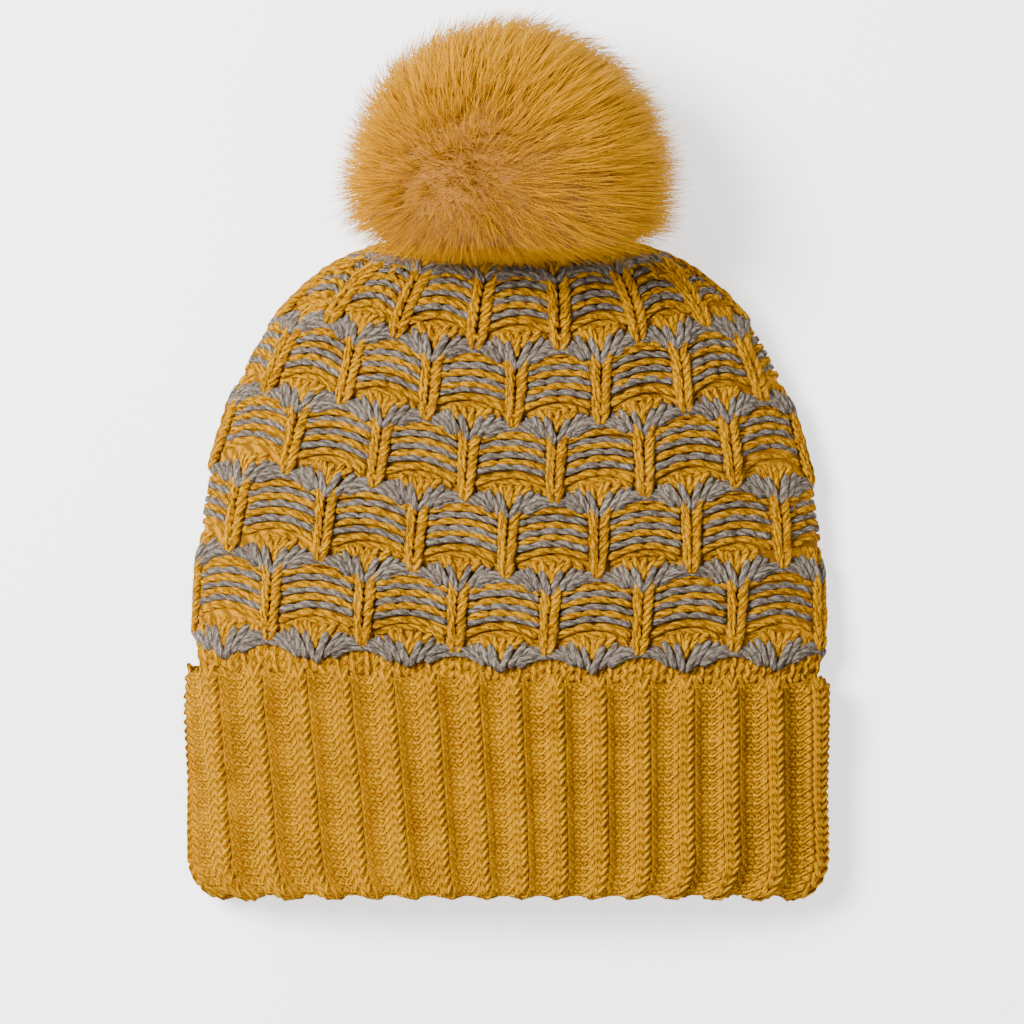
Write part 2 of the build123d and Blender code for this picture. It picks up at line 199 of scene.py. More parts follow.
# ------------------------------------------------------------------ meshes
def tubes(paths, lift_ways, radius, sides, flat=1.0, closed=False, uv_along=None, uv_round=None):
    """Round strands along many paths at once. Each ring is centre + r(-cos a . up + sin a . side),
    with up as near the cloth's normal as the strand allows; open strands get end faces."""
    count, length = paths.shape[:2]
    if closed:
        tangent = np.roll(paths, -1, axis=1) - np.roll(paths, 1, axis=1)
    else:
        tangent = np.gradient(paths, axis=1)
    tangent = tangent / (np.linalg.norm(tangent, axis=2, keepdims=True) + 1e-12)
    up = lift_ways - (lift_ways * tangent).sum(2, keepdims=True) * tangent
    up = up / (np.linalg.norm(up, axis=2, keepdims=True) + 1e-12)
    side = np.cross(tangent, up)
    angle = 2 * np.pi * np.arange(sides) / sides
    radius = np.broadcast_to(radius, (count, length))[:, :, None, None]
    ring = -np.cos(angle)[:, None] * up[:, :, None] * flat + np.sin(angle)[:, None] * side[:, :, None]
    points = (paths[:, :, None] + radius * ring).reshape(-1, 3)

    spans = length if closed else length - 1
    strand = (np.arange(count) * length * sides)[:, None, None]
    here = np.arange(spans)[None, :, None]
    turn = np.arange(sides)[None, None, :]
    ahead, beside = (here + 1) % length, (turn + 1) % sides
    quads = np.stack([strand + here * sides + turn, strand + ahead * sides + turn,
                      strand + ahead * sides + beside, strand + here * sides + beside], axis=3)
    if uv_along is None:
        uv_along = np.broadcast_to(np.linspace(0, 1, spans + 1), (count, spans + 1))
    uv_low, uv_width = uv_round if uv_round is not None else (np.zeros(count), 1.0)
    shape = (count, spans, sides)
    u_here = np.broadcast_to(uv_along[:, :spans, None], shape)
    u_next = np.broadcast_to(uv_along[:, 1:spans + 1, None], shape)
    v_here = np.broadcast_to(uv_low[:, None, None] + uv_width * turn / sides, shape)
    v_next = np.broadcast_to(uv_low[:, None, None] + uv_width * (turn + 1) / sides, shape)
    uvs = np.stack([u_here, v_here, u_next, v_here, u_next, v_next, u_here, v_next], axis=3)
    corners, uv_list, sizes = [quads.reshape(-1)], [uvs.reshape(-1, 2)], [np.full(count * spans * sides, 4)]
    if not closed:
        for place, order, inward in ((0, 1, 1.0), (length - 1, -1, -1.0)):
            ends = (strand[:, :, 0] + place * sides + np.arange(sides)[None, ::order])
            corners.append(ends.reshape(-1))
            sizes.append(np.full(count, sides))
            turned = angle[::order]
            end_u = uv_along[:, place:place + 1] + inward * 0.004 * (1 + np.cos(turned))
            end_v = uv_low[:, None] + uv_width * (0.5 + 0.4 * np.sin(turned))
            uv_list.append(np.stack(np.broadcast_arrays(end_u, end_v), axis=2).reshape(-1, 2))
    return points, np.concatenate(corners), np.concatenate(sizes), np.concatenate(uv_list)


def joined(parts):
    """Several meshes as one: corners are shifted by the points before them."""
    shift = np.cumsum([0] + [len(part[0]) for part in parts[:-1]])
    corners = [part[1] + start for part, start in zip(parts, shift)]
    return (np.concatenate([part[0] for part in parts]), np.concatenate(corners),
            np.concatenate([part[2] for part in parts]), np.concatenate([part[3] for part in parts]))


def sheet_grid(points, capped):
    """A grid of points closed round its second way. Its first way is closed too, or, if capped,
    ends in a fan of triangles to the middle of each end row."""
    rows, turns = points.shape[:2]
    spans = rows - 1 if capped else rows
    here = np.arange(spans)[:, None]
    turn = np.arange(turns)[None, :]
    ahead, beside = (here + 1) % rows, (turn + 1) % turns
    quads = np.stack([here * turns + turn, here * turns + beside, ahead * turns + beside, ahead * turns + turn], axis=2)
    u_here = np.broadcast_to(turn / turns, (spans, turns))
    v_here = np.broadcast_to(here / (spans + 1) + 0.5 / (spans + 1), (spans, turns))
    du, dv = 1 / turns, 1 / (spans + 1)
    uvs = np.stack([u_here, v_here, u_here + du, v_here, u_here + du, v_here + dv, u_here, v_here + dv], axis=2)
    flat = points.reshape(-1, 3)
    corners, sizes, uv_list = [quads.reshape(-1)], [np.full(spans * turns, 4)], [uvs.reshape(-1, 2)]
    if capped:
        for row, order in ((0, 1), (rows - 1, -1)):
            pole = len(flat)
            flat = np.concatenate([flat, points[row].mean(0, keepdims=True)])
            ring = row * turns + np.arange(turns)
            pair = np.stack([ring, np.roll(ring, -1)], axis=1)[:, ::-order]
            corners.append(np.concatenate([pair, np.full((turns, 1), pole)], axis=1).reshape(-1))
            sizes.append(np.full(turns, 3))
            fan = np.stack([np.arange(turns) / turns, np.full(turns, 0.001)], axis=1)
            uv_list.append(np.stack([fan, fan + (du, 0), fan + (0, 0.002)], axis=1).reshape(-1, 2))
    return flat, np.concatenate(corners), np.concatenate(sizes), np.concatenate(uv_list)


def make_piece(name, mesh_parts, body, material, nodes=()):
    """Puts a mesh into the scene in metres, smooth shaded, riding on its body for its CAD nodes."""
    points, corners, sizes, uvs = joined(mesh_parts)
    mesh = bpy.data.meshes.new(name)
    mesh.vertices.add(len(points))
    mesh.vertices.foreach_set("co", (points * MM).astype(np.float32).ravel())
    mesh.loops.add(len(corners))
    mesh.loops.foreach_set("vertex_index", corners.astype(np.int32))
    mesh.polygons.add(len(sizes))
    mesh.polygons.foreach_set("loop_start", np.concatenate([[0], np.cumsum(sizes)[:-1]]).astype(np.int32))
    mesh.polygons.foreach_set("use_smooth", np.ones(len(sizes), dtype=bool))
    mesh.update(calc_edges=True)
    mesh.uv_layers.new(name="OFBake").data.foreach_set("uv", uvs.astype(np.float32).ravel())
    mesh.materials.append(material)
    piece = bpy.data.objects.new(name, mesh)
    bpy.context.scene.collection.objects.link(piece)
    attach(piece, body)
    if nodes:
        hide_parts(*nodes)
    return piece


# ------------------------------------------------------------------ materials
def linear(colour):
    """A six-digit sRGB hex colour as linear RGBA: ((c + 0.055) / 1.055)^2.4 above 0.04045."""
    values = [int(colour[i:i + 2], 16) / 255 for i in (0, 2, 4)]
    return [v / 12.92 if v <= 0.04045 else ((v + 0.055) / 1.055) ** 2.4 for v in values] + [1.0]


def node(tree, kind, inputs=None, **settings):
    """Adds a node, sets its properties, and fills its inputs with values or with links."""
    made = tree.nodes.new(kind)
    for key, value in settings.items():
        setattr(made, key, value)
    for key, value in (inputs or {}).items():
        if isinstance(value, bpy.types.NodeSocket):
            tree.links.new(value, made.inputs[key])
        else:
            made.inputs[key].default_value = value
    return made


def ramp(tree, factor, stops):
    """A colour ramp of (place, hex colour) stops."""
    made = node(tree, "ShaderNodeValToRGB", {"Fac": factor})
    elements = made.color_ramp.elements
    while len(elements) < len(stops):
        elements.new(0.5)
    for element, (place, colour) in zip(elements, stops):
        element.position = place
        element.color = linear(colour)
    return made.outputs["Color"]


def start_material(name, **shader_values):
    """An empty material with one Principled shader set to the given values."""
    material = bpy.data.materials.new(name)
    material.use_nodes = True
    tree = material.node_tree
    tree.nodes.clear()
    shader = node(tree, "ShaderNodeBsdfPrincipled", shader_values)
    output = node(tree, "ShaderNodeOutputMaterial", {"Surface": shader.outputs["BSDF"]})
    output.is_active_output = True
    return material, tree, shader


def yarn_material(name, colours, plies, twist, sheen):
    """Spun wool: matt fibres with a soft sheen. Grooves between plies run round the strand as
    sin(2 pi (length / twist + turn x plies)); fibres are noise stretched along the same twist.
    The colour follows the fibres' own tone, darkened in the grooves between plies as painted
    shade and lightened on the ply crowns as painted light."""
    material, tree, shader = start_material(name, **{
        "Roughness": 0.95, "IOR": 1.54, "Specular IOR Level": 0.03,
        "Sheen Weight": 0.04, "Sheen Roughness": 0.5, "Sheen Tint": linear(sheen)})
    place = node(tree, "ShaderNodeUVMap", uv_map="OFBake")
    split = node(tree, "ShaderNodeSeparateXYZ", {"Vector": place.outputs["UV"]})
    turns = node(tree, "ShaderNodeMath", {0: split.outputs["X"], 1: YARN_UV_LENGTH / twist}, operation="MULTIPLY")
    phase = node(tree, "ShaderNodeMath", {0: split.outputs["Y"], 1: float(plies), 2: turns.outputs[0]},
                 operation="MULTIPLY_ADD")
    angle = node(tree, "ShaderNodeMath", {0: phase.outputs[0], 1: 2 * math.pi}, operation="MULTIPLY")
    ply_groove_relief_and_shade = node(tree, "ShaderNodeMath", {0: angle.outputs[0]}, operation="SINE")
    across = node(tree, "ShaderNodeMath", {0: phase.outputs[0], 1: 6.0}, operation="MULTIPLY")
    along = node(tree, "ShaderNodeMath", {0: split.outputs["X"], 1: YARN_UV_LENGTH / 1.9}, operation="MULTIPLY")
    fibre_place = node(tree, "ShaderNodeCombineXYZ", {"X": across.outputs[0], "Y": along.outputs[0]})
    fibre = node(tree, "ShaderNodeTexNoise", {"Vector": fibre_place.outputs[0], "Scale": 1.0,
                                              "Detail": 3.0, "Roughness": 0.7})
    height = node(tree, "ShaderNodeMath", {0: ply_groove_relief_and_shade.outputs[0], 1: 0.06, 2: fibre.outputs["Fac"]},
                  operation="MULTIPLY_ADD")
    objects = node(tree, "ShaderNodeTexCoord")
    patch = node(tree, "ShaderNodeTexNoise", {"Vector": objects.outputs["Object"], "Scale": 90.0, "Detail": 2.0})
    tone = node(tree, "ShaderNodeMath", {0: patch.outputs["Fac"], 1: 0.14, 2: height.outputs[0]},
                operation="MULTIPLY_ADD")
    spread = node(tree, "ShaderNodeMapRange", {"Value": tone.outputs[0], "From Min": 0.45, "From Max": 0.70})
    # Base colour: the fibres' own tone and random patches, plus the ply sine as painted shade in the grooves between
    # plies and painted light on their crowns.
    colour = ramp(tree, spread.outputs["Result"], colours)
    tree.links.new(colour, shader.inputs["Base Color"])
    bump = node(tree, "ShaderNodeBump", {"Height": height.outputs[0], "Strength": 1.0, "Distance": 0.0016})
    tree.links.new(bump.outputs["Normal"], shader.inputs["Normal"])
    return material


def knit_back_material(name, dark, light):
    """The knit seen between its strands: the same wool in shade, with loops every 4 mm as waves."""
    material, tree, shader = start_material(name, **{"Roughness": 0.95, "IOR": 1.54, "Specular IOR Level": 0.08})
    place = node(tree, "ShaderNodeTexCoord")
    loops = node(tree, "ShaderNodeTexWave", {"Vector": place.outputs["Object"], "Scale": 75.0, "Distortion": 3.0,
                                             "Detail": 2.0, "Detail Scale": 2.0}, bands_direction="DIAGONAL")
    colour = ramp(tree, loops.outputs["Fac"], ((0.1, dark), (0.9, light)))
    tree.links.new(colour, shader.inputs["Base Color"])
    bump = node(tree, "ShaderNodeBump", {"Height": loops.outputs["Fac"], "Strength": 0.8, "Distance": 0.001})
    tree.links.new(bump.outputs["Normal"], shader.inputs["Normal"])
    return material


def fur_material(name, root, middle, tip, painted_highlight):
    """Dyed fur fibre, matt: darker at the root as painted shade deep in the pile, brighter to the tip
    and palest at the very tip as a painted highlight, in sixty lots that differ a little in
    strength. U runs along the hair, and V is the hair's own number."""
    material, tree, shader = start_material(name, **{"Roughness": 0.6, "IOR": 1.55, "Specular IOR Level": 0.04})
    place = node(tree, "ShaderNodeUVMap", uv_map="OFBake")
    split = node(tree, "ShaderNodeSeparateXYZ", {"Vector": place.outputs["UV"]})
    along = ramp(tree, split.outputs["X"], ((0.0, root), (0.45, middle), (0.8, tip), (1.0, painted_highlight)))
    steps = node(tree, "ShaderNodeMath", {0: split.outputs["Y"], 1: 60.0}, operation="MULTIPLY")
    lot = node(tree, "ShaderNodeMath", {0: steps.outputs[0]}, operation="FLOOR")
    number = node(tree, "ShaderNodeTexWhiteNoise", {"W": lot.outputs[0]}, noise_dimensions="1D")
    own = node(tree, "ShaderNodeMapRange", {"Value": number.outputs["Value"], "To Min": 0.55, "To Max": 1.12})
    colour = node(tree, "ShaderNodeVectorMath", {0: along, "Scale": own.outputs["Result"]}, operation="SCALE")
    tree.links.new(colour.outputs[0], shader.inputs["Base Color"])
    return material


def cloth_material(name, dark, light, thread, rough, sheen, bump_depth):
    """Woven, felted or drawn textile: fine noise at the thread's scale in object space."""
    material, tree, shader = start_material(name, **{"Roughness": rough, "IOR": 1.5, "Sheen Weight": sheen})
    place = node(tree, "ShaderNodeTexCoord")
    grain = node(tree, "ShaderNodeTexNoise", {"Vector": place.outputs["Object"], "Scale": 1000.0 / thread,
                                              "Detail": 4.0})
    colour = ramp(tree, grain.outputs["Fac"], ((0.35, dark), (0.65, light)))
    tree.links.new(colour, shader.inputs["Base Color"])
    bump = node(tree, "ShaderNodeBump", {"Height": grain.outputs["Fac"], "Strength": 0.6, "Distance": bump_depth})
    tree.links.new(bump.outputs["Normal"], shader.inputs["Normal"])
    return material


def metal_material(name, colour, worn, rough):
    """Pressed sheet metal, tumbled smooth: fine scratches vary its roughness and colour a little."""
    material, tree, shader = start_material(name, Metallic=1.0)
    place = node(tree, "ShaderNodeTexCoord")
    scratch = node(tree, "ShaderNodeTexNoise", {"Vector": place.outputs["Object"], "Scale": 900.0, "Detail": 5.0})
    tone = ramp(tree, scratch.outputs["Fac"], ((0.3, worn), (0.6, colour)))
    tree.links.new(tone, shader.inputs["Base Color"])
    shine = node(tree, "ShaderNodeMapRange", {"Value": scratch.outputs["Fac"], "To Min": rough, "To Max": rough + 0.2})
    tree.links.new(shine.outputs["Result"], shader.inputs["Roughness"])
    return material


def shared_material(name, builder, *values):
    """The material of that name, made the first time it is asked for."""
    return bpy.data.materials.get(name) or builder(name, *values)


def hexed(colour):
    """A colour property as a six-digit hex; the property holds sRGB values."""
    return "".join(f"{int(round(channel * 255)):02X}" for channel in colour)


def mixed(first, second, part):
    """A hex colour part of the way from the first to the second."""
    pairs = ((int(first[i:i + 2], 16), int(second[i:i + 2], 16)) for i in (0, 2, 4))
    return "".join(f"{int(round(a + (b - a) * part)):02X}" for a, b in pairs)


def wool():
    """The mustard yarn. Its dark stops are partly painted shade in the grooves between plies, its light stop partly
    painted light on the ply crowns; the rest is the yarn's own fibre tone.
    """
    base = hexed(bpy.context.scene.beanie_colours.mustard)
    stops = ((0.0, mixed(base, "301600", 0.72)), (0.3, mixed(base, "5A3000", 0.32)), (0.58, base),
             (1.0, mixed(base, "FFC000", 0.6)))
    return shared_material("mustard_wool_spun", yarn_material, stops, 3, 5.0, "E0A030")


def grey_wool():
    """The grey heather yarn. Its dark stops are partly painted shade in the grooves between plies, its light stop
    partly painted light on the ply crowns; the rest is the heather's own light and dark fibres.
    """
    base = hexed(bpy.context.scene.beanie_colours.grey)
    stops = ((0.0, mixed(base, "2A221C", 0.65)), (0.35, mixed(base, "3C322A", 0.25)), (0.6, base),
             (1.0, mixed(base, "E8D8C0", 0.45)))
    return shared_material("grey_heather_wool_spun", yarn_material, stops, 3, 5.0, "B0A494")


def shaded_wool_back():
    """The mustard knit behind the strands, its colours darkened towards brown as painted shade between them."""
    base = hexed(bpy.context.scene.beanie_colours.mustard)
    return shared_material("mustard_wool_knit_back", knit_back_material,
                           mixed(base, "3A2000", 0.6), mixed(base, "6A4200", 0.2))


def wool_piece(name, mesh_parts, body, replaced, material=wool):
    """A piece of the mustard knit, in the yarn or in the knit behind it."""
    make_piece(name, mesh_parts, body, material(), [replaced])


# ------------------------------------------------------------------ knitted courses
LOOP_LEAN = 0.32
RIB_RELIEF = 1.6
SIDE_TUCK = 1.8
TABLE_CLEARANCE = 1.4
COURSE_CLEARANCE = 1.2
BACKING_HALF = 0.5


def rib_wave(turn):
    """+1 over the pairs of knit columns and -1 over the purl valleys: cos(2 pi (30 turn - 1/3))."""
    return np.cos(2 * np.pi * (RIBS * turn - 1 / 3))


def rib_relief(turn):
    """How far the ribbed cloth stands out over knit columns and in over purl: 1.6 (wave + 0.1)."""
    return RIB_RELIEF * (rib_wave(turn) + 0.1)


def loop_courses(starts, profile, stitches, ribbed, radius, points, sides, seed, height=5.1, depth=0.85):
    """Courses of knitted loops, each a closed strand round the hat. One loop is
    x = t + 0.32 sin(4 pi t), y = H (1 - cos 2 pi t) / 2, lift = -D cos(4 pi t) over its stitch t,
    turned over on purl stitches and raised by the rib's relief. profile gives the cloth's distance
    from the rim, lift and lean at each distance along it."""
    total = stitches * points
    step = np.arange(total) / points
    number, part = np.floor(step), np.mod(step, 1.0)
    x = part + LOOP_LEAN * np.sin(4 * np.pi * part)
    if ribbed:
        edges = np.array([0, 1 / 3, 2 / 3, 5 / 6, 1])
        kind = (number % RIB_STITCHES).astype(int)
        turn = (np.floor(number / RIB_STITCHES) + edges[kind] + x * (edges[kind + 1] - edges[kind])) / RIBS
        face = np.clip((rib_wave(turn) + 0.5) * 2, -1, 1)
        relief = rib_relief(turn)
    else:
        turn = (number + x) / stitches
        face, relief = 1.0, 0.0
    up = height * (1 - np.cos(2 * np.pi * part)) / 2
    out = -depth * np.cos(4 * np.pi * part) * face + relief
    along = np.asarray(starts)[:, None] + up[None, :]
    along = along + np.stack([wander(turn, seed + i, 0.35) for i in range(len(starts))])
    away, lift, lean_away, lean_lift = profile(along)
    swing = np.stack([wander(turn, seed + 90 + i, 0.0006) for i in range(len(starts))])
    moved, turned = relaxed(away + lean_away * out, turn[None, :] + swing)
    paths, normals = on_hat(moved, turned, lift + lean_lift * out)
    paths[..., 2] = np.maximum(paths[..., 2], COURSE_CLEARANCE)
    thickness = radius * (1 + 0.1 * np.stack([wander(turn * 5, seed + 7 * i, 1.0) for i in range(len(starts))]))
    uv = np.mod(number % STITCHES_PER_UV + part, STITCHES_PER_UV) / STITCHES_PER_UV
    uv = np.concatenate([uv, [1.0]])
    parts = tubes(paths, normals, thickness, sides, 0.9, True, np.broadcast_to(uv, (len(starts), total + 1)))
    points_out, corners, sizes, uvs = parts
    uvs = uvs.reshape(len(starts), total, sides, 4, 2).copy()
    last = np.mod(np.arange(total) + 1, STITCHES_PER_UV * points) == 0
    uvs[:, last, :, 1:3, 0] = 1.0
    return points_out, corners, sizes, uvs.reshape(-1, 2)


FOLD_RADIUS = 2.4
CUFF_CLOTH = 2.5
CUFF_TOP = 75.8
CUFF_BOTTOM = 3.6
ROLL_RADIUS = 1.3
CUFF_STANDOFF = 1.7
FOLD_LENGTH = math.pi * FOLD_RADIUS
ROLL_LENGTH = math.pi * ROLL_RADIUS
CUFF_RUN = CUFF_TOP - CUFF_BOTTOM
CUFF_CLOTH_LENGTH = ROLL_LENGTH + CUFF_RUN + FOLD_LENGTH


def cuff_profile(along):
    """The cuff's cloth from its rolled cast-on edge down to the inside of its fold: a half circle
    at the edge, a straight run, and a half circle at the fold. It stands off further from 35 to
    70 mm up, and the stitches' relief fades round the fold. Gives place, lift and lean."""
    back = CUFF_CLOTH_LENGTH - along
    fold_angle = np.clip(back, 0, FOLD_LENGTH) / FOLD_RADIUS
    roll_angle = np.clip(back - FOLD_LENGTH - CUFF_RUN, 0, ROLL_LENGTH) / ROLL_RADIUS
    straight = np.clip(back - FOLD_LENGTH, 0, CUFF_RUN)
    away = CUFF_BOTTOM - FOLD_RADIUS * np.sin(fold_angle) + straight + ROLL_RADIUS * np.sin(roll_angle)
    lift = CUFF_CLOTH - FOLD_RADIUS * (1 + np.cos(fold_angle)) - ROLL_RADIUS * (1 - np.cos(roll_angle))
    lift = lift + CUFF_STANDOFF * smooth_step((away - 35) / 35)
    lean = np.where(back < FOLD_LENGTH, math.pi - fold_angle, -roll_angle)
    fade = 0.35 + 0.65 * smooth_step(back / (FOLD_LENGTH + 7))
    return away, lift, -np.sin(lean) * fade, np.cos(lean) * fade


def rib_profile(along):
    """The inner rib band: straight from the rim up, a little under the hat's surface."""
    return along + 3.4, np.full_like(along, -2.2), np.zeros_like(along), np.ones_like(along)


def body_profile(along):
    """The first courses of the body above the rib, just under its surface."""
    return along, np.full_like(along, -1.5), np.zeros_like(along), np.ones_like(along)


def backing(profile, start, end):
    """A thin closed ribbed sheet that follows a profile, out at +0.5 mm and back at -0.5 mm."""
    along = np.linspace(start, end, 44)
    turn = np.arange(240)[None, :] / 240
    relief = rib_relief(turn)
    rows = []
    for side, order in ((1, 1), (-1, -1)):
        away, lift, lean_away, lean_lift = (value[::order, None] for value in profile(along))
        out = relief + side * BACKING_HALF
        moved, turned = relaxed(away + lean_away * out, turn + 0 * away)
        rows.append(on_hat(moved, turned, lift + lean_lift * out)[0])
        rows[-1][..., 2] = np.maximum(rows[-1][..., 2], 0.6 + 0.4 * side)
    return sheet_grid(np.concatenate(rows), False)


# ------------------------------------------------------------------ the fancy stitch
def strand_uv(paths, rng):
    """U along each strand: its length over 60 mm from a random start that stays inside 0 to 1."""
    steps = np.linalg.norm(np.diff(paths, axis=1), axis=2)
    length = np.concatenate([np.zeros((len(paths), 1)), np.cumsum(steps, axis=1)], axis=1) / YARN_UV_LENGTH
    length = np.minimum(length, 0.98)
    return length + rng.uniform(0, 1, (len(paths), 1)) * (0.99 - length[:, -1:])


def pattern_strands(row, across, up, lift, radius, seed, sides=6, flat=0.9, jitter=0.25):
    """One strand of the pattern in all 14 columns. across is in pitches and up in millimetres from
    the row's V point; lift is off the knit's surface, less 1.8 sin^8 of the turn at both sides.
    Each copy is shifted and thickened a little, and none goes under the table."""
    rng = np.random.default_rng(seed + 1000 * row)
    across, up, lift = (np.broadcast_to(value, np.shape(up)) for value in (across, up, lift))
    column = np.arange(COLUMNS)[:, None]
    shift = rng.normal(0, jitter, (COLUMNS, 1))
    slant = rng.normal(0, jitter, (COLUMNS, 1)) * np.linspace(-1, 1, len(up))[None, :]
    pitch = np.interp(ROW_PLACES[row], TABLE_ROWS, GIRTH) / COLUMNS
    turn = (column + 0.5 * (row % 2) + across[None, :] + rng.normal(0, jitter, (COLUMNS, 1)) / pitch) / COLUMNS
    away = np.minimum(ROW_PLACES[row] + up[None, :] * row_scale(row) + shift + slant, BODY_LENGTH - 0.3)
    moved, turned = relaxed(away, turn)
    flattened = SIDE_TUCK * np.sin(2 * np.pi * turned) ** 8
    raised = lift[None, :] + rng.normal(0, 0.15, (COLUMNS, 1)) - flattened
    paths, normals = on_hat(np.minimum(moved, BODY_LENGTH - 0.2), turned, raised)
    paths[..., 2] = np.maximum(paths[..., 2], TABLE_CLEARANCE)
    ends = np.clip(np.minimum(np.arange(len(up)), np.arange(len(up))[::-1]) + 0.55, 0, 1)
    thickness = np.broadcast_to(radius, np.shape(up))[None, :] * ends * rng.uniform(0.9, 1.1, (COLUMNS, 1))
    return tubes(paths, normals, thickness, sides, flat, False, strand_uv(paths, rng))


def row_scale(row):
    """How much taller a row's panels are than the usual 26.7 mm."""
    if row + 1 < len(ROW_PLACES):
        return (ROW_PLACES[row + 1] - ROW_PLACES[row]) / ROW_PITCH
    return 0.62


def column_strands(row, seed):
    """A column of nested V legs that hangs from the next row's V point down to this row's arch,
    closed at the foot by a U. Leg: across = 0.5 + (half - 0.5)(1 - t)^0.9, up = top - 5.6 t."""
    parts = []
    t = np.linspace(0, 1, 8)
    pitch = np.interp(ROW_PLACES[row + 1], TABLE_ROWS, GIRTH) / COLUMNS
    for leg in range(9):
        top = ROW_PITCH + 2.6 - 2.45 * leg
        half = 3.6 - 0.14 * leg + (0.6 if leg == 0 else 0.0)
        for side in (-1, 1):
            across = side * (0.5 + (half - 0.5) * (1 - t) ** 0.9) / pitch
            up = top - 5.6 * t
            lift = 0.4 + 1.9 * np.sin(np.pi * (0.1 + 0.68 * t)) + 0.05 * leg
            parts.append(pattern_strands(row, 0.5 + across, up, lift, 1.2, seed + 2 * leg + (side > 0), 5, 0.95, 0.15))
    turn = np.linspace(-1.25, 1.25, 9)
    across = 0.5 + 2.0 * np.sin(turn) / pitch
    parts.append(pattern_strands(row, across, 10.4 - 2.2 * np.cos(turn), 1.7 + 0.4 * np.cos(turn), 1.3, seed + 40))
    return parts


def bumps(across, count, phase):
    """A strand that dips under the knit between loops: |sin| of the distance across."""
    return np.abs(np.sin(np.pi * (count * across + phase)))


def panel_arcs(row, crests, drops, seed):
    """The ladder of arcs between two columns: up = crest - drop (across / half span)^2, each arc a
    run of loops that bulge and dip like |sin|, and sink at both ends."""
    parts = []
    half_span = 0.4
    across = np.linspace(-half_span, half_span, 23)
    for number, (crest, drop) in enumerate(zip(crests, drops)):
        wave = bumps(across / (2 * half_span), 3.5, 0.5 * (number % 2) + 0.13 * number)
        up = crest - drop * (across / half_span) ** 2 + 0.4 * wave
        lift = 0.1 + 0.95 * wave**0.6 - 0.7 * (across / half_span) ** 6
        radius = ARC_RADIUS * (0.58 + 0.42 * wave**0.5)
        parts.append(pattern_strands(row, across, up, lift, radius, seed + number, 5, 0.95, 0.22))
    return parts


def fan_strands(row, seed):
    """The tuft of mustard over each V point: five strands, across = foot + (reach - foot) t, over
    three sunken arcs, up = crest - drop (across / 0.36)^2."""
    t = np.linspace(0, 1, 7)
    pitch = np.interp(ROW_PLACES[row], TABLE_ROWS, GIRTH) / COLUMNS
    parts = []
    rays = ((0.0, 0.3, 2.0, 10.6), (-1.0, -3.9, 4.6, 10.9), (1.0, 3.9, 4.6, 10.9),
            (-3.8, -7.6, 6.6, 10.6), (3.8, 7.6, 6.6, 10.6))
    for number, (foot, reach, low, high) in enumerate(rays):
        up = low + (high - low) * t
        lift = 0.9 * np.sin(np.pi * (0.1 + 0.75 * t))
        across = (foot + (reach - foot) * t) / pitch
        parts.append(pattern_strands(row, across, up, lift, 1.3, seed + number))
    across = np.linspace(-0.36, 0.36, 15)
    for number, (crest, drop) in enumerate(((11.6, 3.4), (9.4, 3.0), (7.4, 2.6))):
        up = crest - drop * (across / 0.36) ** 2
        parts.append(pattern_strands(row, across, up, np.full(15, -0.7), 1.3, seed + 20 + number))
    return parts


def scallop_strands(row, seed):
    """Three strands of the grey arch between two V points, up = 3.9 + raise
    - 3.4 (|2a - 1| / 0.62)^2.4, and the six short strands that fan up from each V point,
    across = foot + (reach - foot) t^1.1."""
    parts = []
    pitch = np.interp(ROW_PLACES[row], TABLE_ROWS, GIRTH) / COLUMNS
    a = np.linspace(0.18, 0.82, 23)
    for number, (raise_by, lift, radius) in enumerate(((0.0, 1.2, 1.45), (1.9, 0.9, 1.35), (0.9, 1.9, 1.2))):
        wave = bumps(a, 3, 0.25 * number)
        up = 3.9 + raise_by - 3.4 * (np.abs(2 * a - 1) / 0.62) ** 2.4 + 0.25 * wave
        parts.append(pattern_strands(row, a, up, lift + 0.35 * wave, radius * (0.86 + 0.14 * wave), seed + number,
                                     jitter=0.2))
    t = np.linspace(0, 1, 8)
    ways = ((-0.5, -4.2, -1.4, 7.6, 1.5), (0.5, 4.2, -1.4, 7.6, 1.5),
            (-3.2, -8.8, -0.2, 8.4, 1.1), (3.2, 8.8, -0.2, 8.4, 1.1),
            (-5.6, -11.5, 0.8, 7.4, 0.7), (5.6, 11.5, 0.8, 7.4, 0.7))
    for number, (foot, reach, low, high, raised) in enumerate(ways):
        across = (foot + (reach - foot) * t**1.1) / pitch
        lift = raised + 1.0 * np.sin(np.pi * (0.15 + 0.8 * t)) - 0.7 * t
        parts.append(pattern_strands(row, across, low + (high - low) * t, lift, 1.38, seed + 10 + number, jitter=0.2))
    return parts


GREY_CRESTS = (16.5, 20.9, 25.4)
GREY_DROPS = (2.8, 2.6, 2.6)
MUSTARD_CRESTS = (13.8, 18.7, 23.1, 27.6, 29.8)
MUSTARD_DROPS = (3.8, 2.8, 2.6, 2.6, 3.4)
ARC_RADIUS = 1.42
CROWN_STRANDS = 28
WALL_OUTSIDE = -1.3
WALL_SIDE_LIFT = 0.4


def crown_strands(seed):
    """Yarns drawn in over the crown: 28 strands from the last row to the gathered ring."""
    rng = np.random.default_rng(seed)
    turn = (np.arange(CROWN_STRANDS)[:, None] + rng.normal(0, 0.06, (CROWN_STRANDS, 1))) / CROWN_STRANDS
    away = np.linspace(221, BODY_LENGTH - 0.15, 22)[None, :] + 0 * turn
    lift = 0.2 + 0.5 * np.abs(np.sin(np.linspace(0, 5 * np.pi, 22)))[None, :] + 0 * turn
    paths, normals = on_hat(away, turn + 0 * away, lift)
    return tubes(paths, normals, 1.5, 6, 0.9, False, strand_uv(paths, rng))


